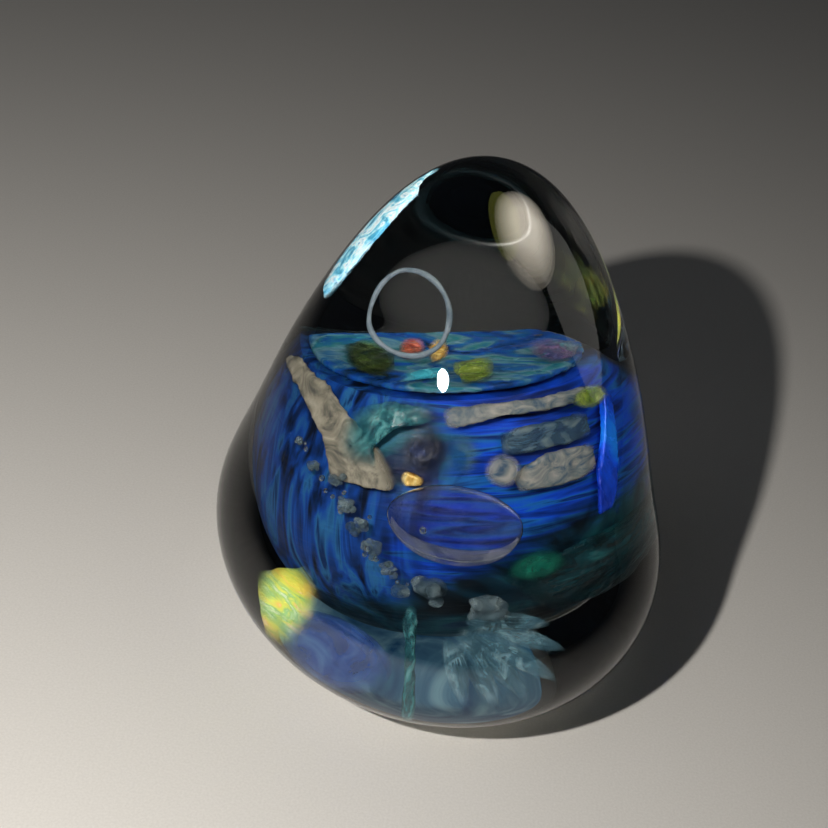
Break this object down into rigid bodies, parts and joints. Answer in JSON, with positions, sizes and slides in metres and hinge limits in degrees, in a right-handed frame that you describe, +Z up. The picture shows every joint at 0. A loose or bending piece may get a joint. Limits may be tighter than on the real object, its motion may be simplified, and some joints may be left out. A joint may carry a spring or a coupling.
{
  "type": "paperweight",
  "caption": "Solid egg-shaped clear glass paperweight that leans back on a ground flat, with a cobalt core, dichroic chips, shards, petals and trapped bubbles sealed inside.",
  "frame": {"origin": "centre of the ground flat that the glass stands on", "axes": "+Z up, -Y towards the front, +X to the right seen from the front; the egg leans back towards +Y"},
  "size_m": [0.0762, 0.0745, 0.08],
  "materials": {
    "clear_glass": "polished clear, ground flat underneath",
    "cobalt_glass": "translucent cobalt, fused",
    "dichroic_blue": "dichroic film, cobalt to cyan",
    "teal_glass": "translucent teal",
    "dark_teal_glass": "dark teal, fused",
    "olive_glass": "dichroic chip, olive",
    "red_glass": "dichroic chip, red",
    "amber_glass": "amber",
    "cyan_glass": "dichroic chip, cyan",
    "lime_glass": "dichroic chip, lime",
    "pink_glass": "dichroic chip, pink",
    "pale_glass": "milky grey",
    "grey_glass": "smoky grey-teal",
    "cream_glass": "opal cream",
    "aqua_glass": "translucent aqua",
    "navy_glass": "dark navy",
    "green_glass": "emerald",
    "petal_glass": "pale blue, streaked",
    "violet_glass": "blue-violet",
    "dichroic_gold": "dichroic film, gold to green",
    "dichroic_silver": "dichroic film, silver to cyan",
    "milk_glass": "milky thread"
  },
  "bodies": {
    "root": {"clear_casing": "clear_glass", "cobalt_core": "cobalt_glass", "back_panel": "dichroic_blue", "teal_pool": "teal_glass", "olive_chip": "olive_glass", "red_chip": "red_glass", "amber_chip": "amber_glass", "cyan_chip": "cyan_glass", "lime_chip": "lime_glass", "pink_chip": "pink_glass", "yellow_frit": "lime_glass", "upper_shard": "pale_glass", "lower_shard": "pale_glass", "shard_bead": "pale_glass", "grey_pane": "grey_glass", "cream_wedge": "cream_glass", "amber_tip": "amber_glass", "aqua_swirl": "aqua_glass", "navy_hollow": "navy_glass", "teal_disc": "teal_glass", "cobalt_bar": "dichroic_blue", "teal_wrap": "dark_teal_glass", "green_patch": "green_glass", "stem": "aqua_glass", "petal_1": "petal_glass", "petal_2": "petal_glass", "petal_3": "petal_glass", "petal_4": "petal_glass", "petal_5": "petal_glass", "petal_6": "petal_glass", "violet_drop": "violet_glass", "rainbow_flake": "dichroic_gold", "crest_flake": "dichroic_silver", "halo_thread": "milk_glass"}
  },
  "joints": []
}
